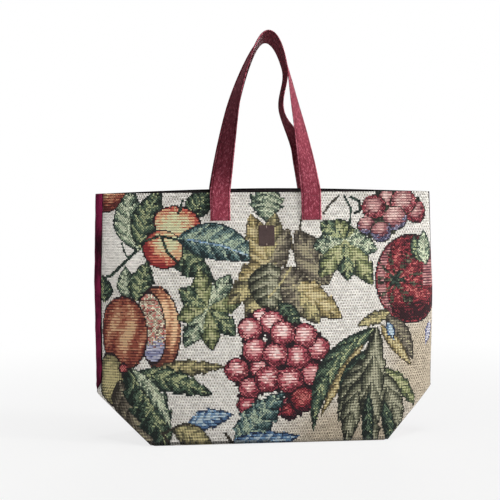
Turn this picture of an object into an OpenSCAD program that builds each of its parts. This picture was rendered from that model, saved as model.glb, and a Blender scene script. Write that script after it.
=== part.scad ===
// Fabric tote bag with a boxed bottom: a woven front panel, a plush back panel, a loose lining of two
// panels, two webbing handles sewn to the outside and a small leather label.
// The bag stands on its flat bottom with its handles up. X runs along the rim, -Y is the front.

/* [Bag] */
// Width between the side edges at the widest
bag_w = 432; // [340:2:500]
// Width between the side edges at the rim
rim_w = 426; // [330:2:500]
// Width between the side edges at the top of the boxed corners
corner_w = 430; // [340:2:500]
// Height of the front rim above the ground
bag_h = 308; // [240:1:440]
// Depth of the mouth at its middle
rim_d = 35; // [24:1:70]
// Depth of the body just above the boxed corners
belly_d = 96; // [60:2:140]
// Roundness of the side edges in plan, 1 for an ellipse and more for a sharper edge
edge_sharpness = 1.3; // [1:0.1:1.6]
// How much higher the back rim stands at its middle
back_rise = 6; // [0:1:14]
// How far the back panel wraps round the left edge onto the front
seam_wrap = 10; // [4:1:16]

/* [Boxed bottom] */
// Length of the bottom
base_l = 288; // [220:2:330]
// Depth of the bottom
base_d = 110; // [80:2:150]
// Height at which the boxed corners reach the full width
corner_h = 58; // [54:2:100]
// Radius of the fold round the bottom
bottom_r = 5; // [3:0.5:6]

/* [Cloth] */
// Thickness of the front and back panels
panel_t = 1.4; // [0.8:0.1:2.4]
// Thickness of the lining
lining_t = 0.5; // [0.3:0.1:0.8]
// Room between the lining and the panels below the rim
lining_slack = 1.5; // [1:0.1:2.4]
// How much narrower the lining is at each side edge
lining_tuck = 6; // [5:0.5:12]
// How far the lining's edge lies below the rim
lining_drop = 2; // [1:0.5:8]
// Gap between pieces that are sewn together
sewn_gap = 0.3; // [0.2:0.05:0.5]

/* [Handles] */
// Width of the webbing
strap_w = 25; // [18:1:38]
// Thickness of the webbing
strap_t = 1.8; // [1:0.1:3]
// Spacing of a handle's two ends, between their middles
strap_spacing = 114; // [90:2:180]
// Length of a handle end that is sewn to its panel
sewn_l = 35; // [25:1:60]
// Height of the handle's top above the front rim
loop_h = 198; // [120:2:300]
// Tilt of the two handles side by side at the top, front edge up
top_tilt = 8; // [0:1:15]
// How far the back handle's right side is pushed in by its bend
bend_in = 15; // [0:1:20]
// How far the tops of both handles lean to the right
top_lean = 5; // [0:1:10]
// How far the handles pull the panels outwards at the rim
strap_pull = 2.5; // [0:0.5:5]
// Width of the pulled stretch of cloth, to each side of a handle end
pull_w = 30; // [20:1:50]

/* [Label] */
// Width of the leather label
label_w = 20; // [14:1:40]
// Height of the leather label
label_h = 26; // [16:1:50]
// Thickness of the leather
label_t = 1.6; // [1:0.1:2.5]
// Distance from the rim down to the label
label_drop = 41; // [20:1:90]

/* [Hidden] */

// Columns of cloth in a boxed corner and in the middle, and rows in the body, the corners and the fold.
// A corner has as many rows as columns, so that its crease runs through the grid's points.
panel_grid = [6, 24, 10, 6, 2];
lining_grid = [4, 14, 6, 4, 2];
// Strips across a handle, rows along a sewn end and along the free loop
strap_strips = 2;
sewn_rows = 3;
loop_rows = 32;
label_strips = 4;

half_gap = sewn_gap / 2;
notch = base_d / 2;
cut_w = base_l + base_d;
taper_power = 1.25;
// Share of the body's height over which it widens above the corners
widest_share = 0.3;
// Share of the corners' height over which the back panel's wrap fades out above them
wrap_fade = 0.3;
// Row of cloth from which the lining hangs free
slack_row = 1 / 6;
strap_x = strap_spacing / 2;
twist_power = 0.8;
bend_z = 0.5 * loop_h;
bend_reach = 0.28 * loop_h;
bend_twist = [0.1 * loop_h, 0.48 * loop_h];
lean_reach = 0.5 * loop_h;

function mix(a, b, f) = a + (b - a) * f;
function clamp(f) = min(1, max(0, f));
function smooth(f) = let (c = clamp(f)) c * c * (3 - 2 * c);
// A bell from 0 at -1 to 1 at 0 and back to 0 at 1
function bell(f) = abs(f) < 1 ? pow(cos(90 * f), 2) : 0;

// Share of the height between the boxed corners and the rim
function body_share(z) = max(0, (z - corner_h) / (bag_h - corner_h));
function half_width(z) =
    let (share = body_share(z))
    share < widest_share
    ? mix(corner_w, bag_w, smooth(share / widest_share)) / 2
    : mix(bag_w, rim_w, pow((share - widest_share) / (1 - widest_share), 2)) / 2;
function half_depth(z) = mix(belly_d, rim_d, pow(body_share(z), taper_power)) / 2;
// How far the handle ends pull the cloth outwards
function pulled(x, z) = strap_pull * pow(body_share(z), 2) * exp(-pow((abs(x) - strap_x) / pull_w, 2));
// Front face of the body at x and z, set in by d
function face_y(x, z, d) =
    let (across = x / (half_width(z) - d))
    -(half_depth(z) - d) * pow(max(0, 1 - across * across), edge_sharpness / 2) - pulled(x, z);

// A section of the body at height z, set in by d: its half width, the half depth of its flat end and the
// half depth of its middle. At the ground it is a box, above the boxed corners a lens without flat ends.
function section(z, d, inset, tuck) =
    let (share = clamp(z / corner_h))
    [
        mix(base_l / 2 - inset, half_width(z) - d - tuck, share),
        (notch - inset) * (1 - share),
        mix(notch - inset, half_depth(z) - d, share)
    ];
// Curved front of a section, from its left end at 0 degrees to its right end at 180
function front_point(angle, cut) =
    [-cut[0] * cos(angle), -cut[1] - (cut[2] - cut[1]) * pow(abs(sin(angle)), edge_sharpness)];
// Pairs of length along the front and angle
function front_lengths(cut, steps = 60) =
    let (angles = [for (j = [0:steps]) 180 * j / steps])
    let (places = [for (a = angles) front_point(a, cut)])
    let (gaps = [for (j = [0:steps]) j == 0 ? 0 : norm(places[j] - places[j - 1])])
    [for (j = 0, run = 0; j <= steps; j = j + 1, run = run + (j > steps ? 0 : gaps[j])) [run, angles[j]]];
// Angle of the front at a place from 0 to 1 along the whole section, whose flat ends take the share ends
function front_angle(place, ends, lengths) =
    let (whole = lengths[len(lengths) - 1][0])
    lookup((place - ends) / (1 - 2 * ends) * whole, lengths);
// Point of a section at a place from 0 at its left edge to 1 at its right, and below 0 on its other side
function section_point(place, ends, cut, lengths) =
    let (run = abs(place))
    let (point = run < ends ? [-cut[0], -cut[1] * run / ends]
        : run > 1 - ends ? [cut[0], -cut[1] * (1 - run) / ends]
        : front_point(front_angle(run, ends, lengths), cut))
    [point[0], place < 0 ? -point[1] : point[1]];

// Place of a column of cloth along its cut width, from start to the far seam
function column_run(i, grid, start) =
    let (k = grid[0], mid = grid[1])
    i <= k ? mix(start, notch, i / k)
    : i <= k + mid ? notch + base_l * (i - k) / mid
    : mix(notch + base_l, cut_w - half_gap, (i - k - mid) / k);

// Rows of cloth: 0 to 1 from the rim to the corners, 1 to 2 down the corners, 2 to 3 round the bottom fold
function cloth_rows(grid) = [
    for (j = [0:grid[2] - 1]) j / grid[2],
    for (j = [0:grid[3] - 1]) 1 + j / grid[3],
    for (j = [0:grid[4]]) 2 + j / grid[4]
];
function row_z(row, rim_z, d) =
    row < 1 ? mix(rim_z, corner_h, row)
    : row < 2 ? corner_h * (2 - row)
    : d + bottom_r * (1 - sin(90 * (row - 2)));
function row_inset(row, d) = row < 2 ? d : d + bottom_r * (1 - cos(90 * (row - 2)));
// The wrap of the back panel fades out just above the boxed corners
function wrap_at(z, wrap) = wrap * smooth((z - corner_h) / (wrap_fade * corner_h));

// One row of a panel's points, set in by d and narrowed by tuck at the side edges
function cloth_row(row, grid, d, tuck, wrap, rise, drop) =
    let (level = row_z(row, bag_h - drop, d), inset = row_inset(row, d))
    let (lengths = front_lengths(section(level, d, inset, tuck)))
    let (ends = notch * (1 - clamp(level / corner_h)) / cut_w)
    [for (i = [0:2 * grid[0] + grid[1]])
        let (place = column_run(i, grid, wrap_at(level, wrap) + half_gap) / cut_w)
        let (z = row_z(row, bag_h - drop + rise * sin(180 * abs(place)), d))
        let (point = section_point(place, ends, section(z, d, inset, tuck), lengths))
        let (out = point[1] < 0 ? -1 : 1)
        [point[0], point[1] + out * pulled(point[0], z), z]];

// Half of the bottom, between the last row's front edge and the middle seam, without its shared ends
function bottom_points(last, grid) =
    let (k = grid[0], mid = grid[1])
    [for (j = [1:k])
        let (share = (last[k - j][1] - last[k][1]) / (last[0][1] - last[k][1]))
        for (i = [1:mid - 1]) [
            mix(last[k - j][0], last[k + mid + j][0], i / mid),
            mix(last[k + i][1], last[0][1], share),
            last[k][2]
        ]];

// All points of one skin of a panel, which hangs free by slack from a little below the rim on
function skin_points(grid, d, slack, tuck, wrap, rise, drop) =
    let (rows = cloth_rows(grid))
    let (wall = [for (row = rows)
        cloth_row(row, grid, d + slack * clamp(row / slack_row), tuck, wrap, rise, drop)])
    concat([for (row = wall) each row], bottom_points(wall[len(wall) - 1], grid));

// Numbering of a panel's points: the wall by rows, then the bottom, whose ends are the wall's notch edges
function wall_id(i, j, grid) = j * (2 * grid[0] + grid[1] + 1) + i;
function bottom_id(i, j, grid) =
    let (k = grid[0], mid = grid[1], last = grid[2] + grid[3] + grid[4])
    j == 0 ? wall_id(k + i, last, grid)
    : i == 0 ? wall_id(k - j, last, grid)
    : i == mid ? wall_id(k + mid + j, last, grid)
    : wall_id(0, last + 1, grid) + (j - 1) * (mid - 1) + i - 1;
// Corners of one cell of cloth, from its upper left one round
function wall_cell(i, j, grid) = [
    wall_id(i, j, grid),
    wall_id(i + 1, j, grid),
    wall_id(i + 1, j + 1, grid),
    wall_id(i, j + 1, grid)
];
function bottom_cell(i, j, grid) = [
    bottom_id(i, j, grid),
    bottom_id(i + 1, j, grid),
    bottom_id(i + 1, j + 1, grid),
    bottom_id(i, j + 1, grid)
];
function panel_quads(grid) =
    let (k = grid[0], mid = grid[1], columns = 2 * k + mid, last = grid[2] + grid[3] + grid[4])
    concat(
        [for (j = [0:last - 1], i = [0:columns - 1]) wall_cell(i, j, grid)],
        [for (j = [0:k - 1], i = [0:mid - 1]) bottom_cell(i, j, grid)]
    );
// Edge of a panel: along the rim, down the right seam, back along the bottom seam and up the left seam
function panel_edge(grid) =
    let (k = grid[0], mid = grid[1], columns = 2 * k + mid, last = grid[2] + grid[3] + grid[4])
    concat(
        [for (i = [0:columns]) wall_id(i, 0, grid)],
        [for (j = [1:last]) wall_id(columns, j, grid)],
        [for (i = [mid - 1:-1:1]) bottom_id(i, k, grid)],
        [for (j = [last:-1:1]) wall_id(0, j, grid)]
    );

// The same for a plain strip of cloth
function strip_quads(columns, rows) =
    [for (j = [0:rows - 1], i = [0:columns - 1])
        let (a = j * (columns + 1) + i, b = a + columns + 1)
        [a, a + 1, b + 1, b]];
function strip_edge(columns, rows) =
    let (row = columns + 1)
    concat(
        [for (i = [0:columns]) i],
        [for (j = [1:rows]) j * row + columns],
        [for (i = [columns - 1:-1:0]) rows * row + i],
        [for (j = [rows - 1:-1:1]) j * row]
    );

// Closed cloth of two skins, joined round their edge, with cells split along the boxed corners' creases
module cloth(outside, inside, quads, edge) {
    n = len(outside);
    m = len(edge);
    polyhedron(
        points = concat(outside, inside),
        faces = concat(
            [for (q = quads) each
                outside[q[0]][0] + outside[q[1]][0] < 0
                ? [[q[0], q[1], q[2]], [q[0], q[2], q[3]]]
                : [[q[0], q[1], q[3]], [q[1], q[2], q[3]]]],
            [for (q = quads) each
                outside[q[0]][0] + outside[q[1]][0] < 0
                ? [[n + q[2], n + q[1], n + q[0]], [n + q[3], n + q[2], n + q[0]]]
                : [[n + q[3], n + q[1], n + q[0]], [n + q[3], n + q[2], n + q[1]]]],
            [for (t = [0:m - 1])
                let (a = edge[t], b = edge[(t + 1) % m])
                each [[b, a, n + a], [b, n + a, n + b]]]
        ),
        convexity = 8
    );
}

module panel(wrap, rise) {
    cloth(
        skin_points(panel_grid, 0, 0, 0, wrap, rise, 0),
        skin_points(panel_grid, panel_t, 0, 0, wrap, rise, 0),
        panel_quads(panel_grid),
        panel_edge(panel_grid)
    );
}

module lining(rise) {
    d = panel_t + sewn_gap;
    cloth(
        skin_points(lining_grid, d, lining_slack, lining_tuck, 0, rise, lining_drop),
        skin_points(lining_grid, d + lining_t, lining_slack, lining_tuck, 0, rise, lining_drop),
        panel_quads(lining_grid),
        panel_edge(lining_grid)
    );
}

// Height above the rim of a handle's free loop, for an angle from -90 at its left end to 90 at its right
function loop_rise(angle, top) = top * pow(cos(angle), 2);
function loop_point(angle, rim_z, top, foot_y, top_y, bend) =
    let (rise = loop_rise(angle, top))
    let (pushed = angle > 0 ? bend * bell((rise - bend_z) / bend_reach) : 0)
    let (leaning = top_lean * bell((top - rise) / lean_reach))
    [strap_x * sin(angle) - pushed + leaning, mix(foot_y, top_y, smooth(rise / top)), rim_z + rise];
// Turn of the webbing about its length: flat on the panel at the rim, flat across the top
function loop_twist(angle, top, turn, bend) =
    let (rise = loop_rise(angle, top))
    angle > 0 && bend > 0
    ? turn * smooth((rise - bend_twist[0]) / (bend_twist[1] - bend_twist[0]))
    : turn * pow(rise / top, twist_power);

// Points across the webbing at one place of the free loop, on its face at the given offset
function loop_strip(angle, rim_z, top, foot_y, top_y, turn, bend, offset) =
    let (place = loop_point(angle, rim_z, top, foot_y, top_y, bend))
    let (ahead = loop_point(angle + 1, rim_z, top, foot_y, top_y, bend))
    let (behind = loop_point(angle - 1, rim_z, top, foot_y, top_y, bend))
    let (along = (ahead - behind) / norm(ahead - behind))
    let (inward = [along[2], 0, -along[0]] / norm([along[2], along[0]]))
    let (twist = loop_twist(angle, top, turn, bend))
    let (lean = cos(twist) * inward - sin(twist) * [0, 1, 0])
    let (across = (lean - along * (lean * along)) / norm(lean - along * (lean * along)))
    let (out = -cross(along, across))
    [for (i = [0:strap_strips]) place + across * strap_w * (0.5 - i / strap_strips) + out * offset];
// Points across the webbing where it is sewn to the panel, with side 1 on the left and -1 on the right
function sewn_strip(side, z, d) =
    [for (i = [0:strap_strips])
        let (x = side * (strap_w * (0.5 - i / strap_strips) - strap_x))
        [x, face_y(x, z, d), z]];

// One face of a handle, from its left end over the top to its right end
function handle_points(rise, turn, bend, layer) =
    let (rim_z = bag_h + rise, foot_z = bag_h - sewn_l)
    let (d = -sewn_gap - layer * strap_t)
    let (foot_y = face_y(strap_x, rim_z, -sewn_gap - strap_t / 2))
    let (top_y = -strap_w / 2 * cos(top_tilt) - sewn_gap)
    let (top = loop_h - rise - (turn < 90 ? strap_w * sin(top_tilt) : 0))
    concat(
        [for (j = [0:sewn_rows]) each sewn_strip(1, mix(foot_z, rim_z, j / sewn_rows), d)],
        [for (j = [1:loop_rows - 1])
            let (angle = 180 * j / loop_rows - 90)
            each loop_strip(angle, rim_z, top, foot_y, top_y, turn, bend, (layer - 0.5) * strap_t)],
        [for (j = [0:sewn_rows]) each sewn_strip(-1, mix(rim_z, foot_z, j / sewn_rows), d)]
    );

module handle(rise, turn, bend) {
    rows = 2 * sewn_rows + loop_rows;
    cloth(
        handle_points(rise, turn, bend, 1),
        handle_points(rise, turn, bend, 0),
        strip_quads(strap_strips, rows),
        strip_edge(strap_strips, rows)
    );
}

function label_points(d) =
    [for (j = [0:label_strips], i = [0:label_strips])
        let (x = label_w * (i / label_strips - 0.5), z = bag_h - label_drop - label_h * j / label_strips)
        [x, face_y(x, z, d), z]];

module front_panel() {
    color("#b9b09a") panel(seam_wrap, 0);
}
module back_panel() {
    color("#5c1a33") mirror([0, 1, 0]) panel(-seam_wrap, back_rise);
}
module lining_front() {
    color("#1c0d12") lining(0);
}
module lining_back() {
    color("#1c0d12") mirror([0, 1, 0]) lining(back_rise);
}
module front_handle() {
    color("#8c2a3e") handle(0, 90 + top_tilt, 0);
}
module back_handle() {
    color("#6b2233") mirror([0, 1, 0]) handle(back_rise, 90 - top_tilt, bend_in);
}
module label() {
    color("#5f4646")
        cloth(label_points(-sewn_gap - label_t), label_points(-sewn_gap),
            strip_quads(label_strips, label_strips), strip_edge(label_strips, label_strips));
}

front_panel();
back_panel();
lining_front();
lining_back();
front_handle();
back_handle();
label();
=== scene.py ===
"""Looks of a fabric tote bag, built round its solids: woven front, plush back, lining, handles and label."""

import math
from collections import namedtuple

import bpy
import numpy as np
from mathutils import Matrix, Vector


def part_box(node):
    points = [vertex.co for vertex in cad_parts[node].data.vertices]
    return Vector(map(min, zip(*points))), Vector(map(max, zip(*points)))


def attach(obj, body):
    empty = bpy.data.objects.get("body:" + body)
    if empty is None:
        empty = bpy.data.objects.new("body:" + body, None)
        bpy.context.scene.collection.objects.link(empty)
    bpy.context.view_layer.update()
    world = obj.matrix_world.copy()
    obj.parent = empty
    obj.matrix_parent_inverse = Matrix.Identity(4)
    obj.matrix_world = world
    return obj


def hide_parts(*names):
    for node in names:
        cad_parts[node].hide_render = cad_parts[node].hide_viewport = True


bl_info = {
    "name": "Fabric Tote Bag",
    "version": (1, 0, 0),
    "blender": (4, 5, 0),
    "location": "3D View > Sidebar > Tote Bag",
    "description": "Dresses the solids of a fabric tote bag with cloth, webbing, leather and stitching",
    "category": "Object",
}

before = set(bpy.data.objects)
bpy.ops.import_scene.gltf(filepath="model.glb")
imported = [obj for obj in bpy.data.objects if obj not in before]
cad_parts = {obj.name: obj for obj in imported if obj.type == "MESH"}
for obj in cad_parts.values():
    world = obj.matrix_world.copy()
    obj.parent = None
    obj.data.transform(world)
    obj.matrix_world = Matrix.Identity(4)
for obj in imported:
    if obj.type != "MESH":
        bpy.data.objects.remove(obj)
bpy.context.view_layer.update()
_, FRONT_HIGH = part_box("front_panel")
_, BACK_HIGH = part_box("back_panel")
_, LINING_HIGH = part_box("lining_front")
HANDLE_LOW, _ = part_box("front_handle")
LABEL_LOW, LABEL_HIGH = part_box("label")

BODY = "root"
MM = 0.001
SEED = 11

# Cells of cloth across a boxed corner and across the middle, and down the body, a corner and the bottom fold
Grid = namedtuple("Grid", "corner middle body boxed fold")
WOVEN_GRID = Grid(35, 186, 148, 35, 5)
PLUSH_GRID = Grid(18, 100, 92, 24, 4)
LINING_GRID = Grid(10, 54, 50, 16, 3)
INSIDE_GRID = Grid(6, 41, 39, 13, 1)

# Shape of the body, as in its solids: taper of its depth, share of its height where it is widest, fade of the
# wrapped seam, row by which the lining hangs free, and steps round a section
TAPER = 1.25
WIDEST_SHARE = 0.3
WRAP_FADE = 0.3
SLACK_ROW = 1 / 6
ARC_STEPS = 120

# Shape of the handles, as in their solids: how they twist, where one bends in and how far down the tops lean
TWIST_POWER = 0.8
BEND_HEIGHT = 0.5
BEND_REACH = 0.28
BEND_TWIST = (0.1, 0.48)
LEAN_REACH = 0.5

# Names of the layers that a cloth's mesh carries
BAKE_NAME = "OFBake"
WEAVE_NAME = "weave"
DYE_NAME = "thread"

# Layout of a panel's baked picture: the outside large, the inside and the edges in narrow strips below it
BAKE_OUTSIDE = (0.13, 0.99)
BAKE_INSIDE = (0.03, 0.12)
BAKE_EDGES = (0.004, 0.024)
BAKE_SIDES = (0.01, 0.99)
STRIP_SHARE = 0.8

# Relief of the hanging cloth along its normal: dips at the seams, slow waves and puckers at the wrapped seam
SEAM_DIP = 0.9 * MM
SEAM_REACH = 2.2 * MM
# Each wave's height, its lengths along and down the cloth, and its phase, in millimetres
WAVES = ((1.1, 31, 95, 0.6), (0.8, 53, -42, 2.1), (0.5, 17, 60, 1.2))
# Where the waves start below the rim and end above the ground, and how far each takes to fade
WAVE_START, WAVE_GROW = 75 * MM, 60 * MM
WAVE_END, WAVE_DIE = 14 * MM, 50 * MM
# Each pucker's height, its length down the cloth, and its phase, in millimetres
PUCKERS = ((0.45, 5.3, 0), (0.4, 9.1, 1), (0.3, 3.1, 2))
PUCKER_REACH = 9 * MM
PUCKER_GROW, PUCKER_DIE = 6 * MM, 20 * MM

# Place of the drawing on the cloth: what lies at its middle, in millimetres, and its width against the cloth
DRAWN_MIDDLE = 203
DRAWN_SCALE = 0.957
# Share of the body's depth, from its side edges, over which the picture turns with the cloth
EDGE_SHARE = 0.27
# Patches of the ground in sandy threads and in ribs: their middles and half sizes, in millimetres
SANDY_PATCHES = (((305, 305), (95, 55)), ((405, 220), (70, 85)))
RIBBED_PATCH = ((22, 62), (34, 52))
# Width of the dark outlines of leaves, fruit and berries, and of the shadow between berries, in millimetres
LEAF_RIM = 1.7
FRUIT_RIM = 1.8
BERRY_RIM = 1.5
BERRY_SHADOW = 4.5
# Where a vine leaf's lobes start, as a share of the way from their tips to its middle
LOBE_ROOT = 1.25

# Webbing: points across one face, rows along a sewn end and over the loop, how square its edges are, and the
# groove beside each bead
STRAP_POINTS = 20
SEWN_ROWS = 14
LOOP_ROWS = 120
EDGE_POWER = 14
GROOVE_DEPTH = 0.22 * MM
GROOVE_INSET = 2.4 * MM
GROOVE_REACH = 0.7 * MM

# Weave of the webbing, in millimetres, with where its groove and its bead fade in from the edge
TWILL_PITCH = 2.2
THREAD_W = 1.5
CHEVRON_W = 4.2
GROOVE_EDGE = (3.0, 2.5)
BEAD_EDGE = (1.9, 1.4)

# Threads of the lining to each cell of its cloth
LINING_THREADS = 14

# Rings of the label from its back over its rounded edge to its middle: shares of its outline and thickness
LABEL_RINGS = (
    (0.0, 0.0), (0.5, 0.0), (0.9, 0.0), (0.975, 0.05), (1.0, 0.3), (1.0, 0.65), (0.985, 0.88), (0.95, 0.98),
    (0.9, 0.99), (0.75, 1.0), (0.5, 1.0), (0.25, 1.0), (0.0, 1.0),
)

# Stitches: rings and sides of one, its pitch against its length, the part of the pitch that shows, places on
# the handle ends and on the label, and the label's thread against the handles'
STITCH_RINGS = 7
STITCH_SIDES = 6
STITCH_PITCH = 1.25
STITCH_SPAN = (0.1, 0.9)
BOX_MARGIN = 2.4 * MM
LABEL_STITCH_MARGIN = 2.2 * MM
LABEL_STITCH_HALF = 1.5 * MM
LABEL_THREAD = 1.5

# The photograph's viewing angle, with the image taken as a square
CAMERA_TURN = math.radians(-5)
CAMERA_DISTANCE = 1.2
CAMERA_HEIGHT = 0.28
CAMERA_AIM = Vector((-0.0189, 0.0, 0.2353))
CAMERA_ROLL = math.radians(-0.55)
FOCAL_SHARE = 1.889
SENSOR = 36.0

# Lights: name, place, height that it aims at, size, watts and spread in degrees
LIGHTS = (
    ("key_light", (3.7, -1.1, 1.1), 0.42, (1.4, 0.8), 4.5, 12),
    ("front_light", (0.2, -2.65, 0.17), 0.165, (0.8, 0.32), 0.4, 4),
    ("top_light", (0.2, -0.1, 2.0), 0.15, (1.0, 1.0), 16, 180),
    ("back_light", (0.5, 2.0, 0.35), 0.2, (1.2, 0.5), 1.9, 30),
)
WHITE = (1, 1, 1, 1)
AMBIENT = 0.05
FLOOR_HALF = 4.0
# Share of white that the camera sees on the floor near the bag, and the distances over which it rises to 1
FLOOR_GLOW = 0.8
FLOOR_FADE = (0.2, 1.0)


def linear(red, green, blue):
    """A colour as a screen shows it, from 0 to 255, as the light that it stands for."""
    shares = [value / 255 for value in (red, green, blue)]
    return tuple(s / 12.92 if s <= 0.04045 else ((s + 0.055) / 1.055) ** 2.4 for s in shares)


def length(name, description, default):
    """A property that holds a length."""
    return bpy.props.FloatProperty(
        name=name, description=description, default=default, min=0, unit="LENGTH", precision=4
    )


def colour(name, description, default):
    """A property that holds a colour, given as a screen shows it."""
    return bpy.props.FloatVectorProperty(
        name=name, description=description, default=linear(*default), size=3, min=0, max=1, subtype="COLOR"
    )


class ToteSizes(bpy.types.PropertyGroup):
    """Sizes of the bag's pieces."""

    widest_w: length("Widest width", "Width between the side edges at the widest", 432 * MM)
    rim_w: length("Rim width", "Width between the side edges at the rim", 426 * MM)
    corner_w: length("Corner width", "Width at the top of the boxed corners", 430 * MM)
    rim_h: length("Rim height", "Height of the front rim", FRONT_HIGH.z)
    rim_d: length("Mouth depth", "Depth of the mouth at its middle", 35 * MM)
    belly_d: length("Body depth", "Depth just above the boxed corners", 96 * MM)
    edge_sharpness: bpy.props.FloatProperty(
        name="Edge sharpness", description="Roundness of the side edges in plan", default=1.3, min=1, max=1.6
    )
    back_rise: length("Back rise", "How much higher the back rim stands", BACK_HIGH.z - FRONT_HIGH.z)
    seam_wrap: length("Seam wrap", "How far the back wraps round the left edge", 10 * MM)
    base_l: length("Bottom length", "Length of the bottom", 288 * MM)
    base_d: length("Bottom depth", "Depth of the bottom", 110 * MM)
    corner_h: length("Corner height", "Height of the boxed corners", 58 * MM)
    bottom_r: length("Bottom fold", "Radius of the fold round the bottom", 5 * MM)
    panel_t: length("Panel thickness", "Thickness of the front and back panels", 1.4 * MM)
    lining_t: length("Lining thickness", "Thickness of the lining", 0.5 * MM)
    lining_slack: length("Lining slack", "Room between lining and panels", 1.5 * MM)
    lining_tuck: length("Lining tuck", "How much narrower the lining is", 6 * MM)
    lining_drop: length("Lining drop", "How far the lining lies below the rim", FRONT_HIGH.z - LINING_HIGH.z)
    sewn_gap: length("Sewn gap", "Gap between pieces that are sewn together", 0.3 * MM)
    strap_w: length("Webbing width", "Width of the handles' webbing", 25 * MM)
    strap_t: length("Webbing thickness", "Thickness of the handles' webbing", 1.8 * MM)
    strap_x: length("Handle place", "Distance of a handle's end from the middle", 57 * MM)
    sewn_z: length("Handle ends", "Height of the handles' lower ends", HANDLE_LOW.z)
    loop_h: length("Handle height", "Height of the handles above the rim", 198 * MM)
    top_tilt: bpy.props.FloatProperty(
        name="Top tilt",
        description="Tilt of the handles at their top",
        default=math.radians(8),
        subtype="ANGLE",
    )
    bend_in: length("Handle bend", "How far the back handle bends in", 15 * MM)
    top_lean: length("Top lean", "How far the handles' tops lean to the right", 5 * MM)
    strap_pull: length("Pull", "How far the handles pull the cloth out", 2.5 * MM)
    pull_w: length("Pull width", "Reach of the pulled cloth to each side", 30 * MM)
    label_t: length("Label thickness", "Thickness of the leather label", 1.6 * MM)
    label_r: length("Label corner", "Radius of the label's corners", 1.2 * MM)
    stitch_l: length("Stitch", "Length of one stitch", 2.6 * MM)
    thread_r: length("Thread radius", "Radius of the sewing thread", 0.28 * MM)

    @property
    def notch(self):
        """Side of the notch at each lower corner of a panel."""
        return self.base_d / 2

    @property
    def cut_w(self):
        """Width of a panel along its boxed corners, from seam to seam."""
        return self.base_l + self.base_d

    @property
    def half_gap(self):
        """Distance of a panel's edge from the middle of its seam."""
        return self.sewn_gap / 2


class ToteColours(bpy.types.PropertyGroup):
    """Colours of the bag's materials."""

    # Ground: its pit colours are painted shade in the hollows between its light threads
    ground: colour("Ground", "Light threads of the woven ground", (227, 223, 216))
    ground_pit_shade: colour("Ground pits", "Grey threads between the light ones", (140, 134, 124))
    sand: colour("Sand", "Warmer ground threads", (194, 180, 158))
    sand_pit_shade: colour("Sand pits", "Brown threads between the warmer ones", (102, 92, 78))
    reverse: colour("Reverse", "Inside of the woven cloth", (120, 112, 96))
    # Plush: its colour is the painted highlight of its patches and its shade colour the painted shade of the
    # others
    velvet: colour("Plush", "Pile of the back panel", (128, 29, 69))
    velvet_painted_shade: colour("Plush shade", "Pile that leans away", (36, 10, 20))
    velvet_sheen: colour("Plush sheen", "Pile that is seen at a slant", (226, 120, 170))
    lining: colour("Lining", "Thin dark cloth inside", (20, 10, 13))
    # Webbing: its shade colour is painted shade in hollows and grooves as well as dark flecks, its light
    # colour light flecks and painted highlight on raised threads
    webbing: colour("Webbing", "Main threads of the handles", (144, 58, 74))
    webbing_dark: colour("Webbing shade", "Hollows between the handles' threads", (80, 21, 32))
    webbing_light: colour("Webbing light", "Raised threads of the handles", (200, 112, 128))
    webbing_sheen: colour("Webbing sheen", "Threads that are seen at a slant", (235, 180, 190))
    leather: colour("Leather", "Face of the label", (72, 52, 49))
    leather_dark: colour("Leather shade", "Pores of the label", (46, 30, 29))
    thread: colour("Thread", "Sewing thread of the handles", (120, 30, 50))
    label_thread: colour("Label thread", "Thread of the label's two stitches", (190, 165, 150))
    floor: colour("Floor", "Plain pale floor", (246, 246, 245))


# Threads of the woven picture: how each is bound, and its ramp from dark to light
THREADS = {
    "sage": ("specks", (38, 48, 44), (76, 92, 80), (130, 144, 120), (186, 192, 166)),
    "green": ("specks", (26, 36, 32), (50, 66, 56), (88, 104, 82), (152, 158, 118)),
    "teal": ("specks", (26, 38, 42), (48, 70, 72), (98, 120, 116), (150, 164, 142)),
    "olive": ("grid", (58, 55, 44), (100, 95, 72), (142, 134, 96), (186, 174, 128)),
    "ochre": ("grid", (74, 66, 48), (124, 111, 76), (164, 147, 102), (194, 181, 140)),
    "bark": ("grid", (50, 46, 40), (82, 76, 66), (112, 104, 90), (150, 142, 116)),
    "blue": ("ribs", (36, 48, 70), (68, 94, 128), (108, 140, 170), (176, 192, 200)),
    "peach": ("ribs", (98, 52, 44), (150, 92, 70), (196, 146, 110), (226, 192, 152)),
    "rust": ("ribs", (90, 40, 36), (138, 72, 58), (170, 114, 88), (204, 168, 130)),
    "blush": ("ribs", (132, 42, 44), (182, 92, 76), (204, 162, 124), (200, 198, 158)),
    "crimson": ("specks", (44, 18, 24), (94, 32, 40), (136, 50, 56), (174, 96, 92)),
    "grape": ("ribs", (92, 26, 42), (158, 68, 80), (204, 146, 144), (232, 206, 200)),
    "blossom": ("ribs", (92, 46, 56), (146, 94, 96), (184, 138, 134), (212, 180, 172)),
    "cherry": ("specks", (68, 24, 34), (116, 44, 54), (154, 78, 84), (198, 142, 138)),
    "shade": ("specks", (30, 18, 24), (44, 22, 30), (70, 26, 36), (112, 34, 46)),
    "seeds": ("specks", (120, 60, 56), (168, 152, 130), (206, 200, 178), (186, 110, 100)),
    "lime": ("grid", (46, 54, 42), (86, 94, 66), (126, 132, 90), (172, 172, 130)),
    "slate": ("grid", (32, 34, 28), (70, 72, 58), (110, 110, 90), (160, 158, 134)),
    "violet": ("specks", (46, 46, 66), (76, 76, 100), (112, 108, 130), (150, 144, 158)),
    "lilac": ("ribs", (84, 86, 120), (128, 130, 160), (166, 166, 186), (200, 198, 204)),
}
OUTLINE = np.array(linear(34, 24, 28))


def mix(a, b, share):
    return a + (b - a) * share


def smooth(share):
    """0 up to 0, 1 from 1 and smooth between them."""
    held = np.clip(share, 0, 1)
    return held * held * (3 - 2 * held)


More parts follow.
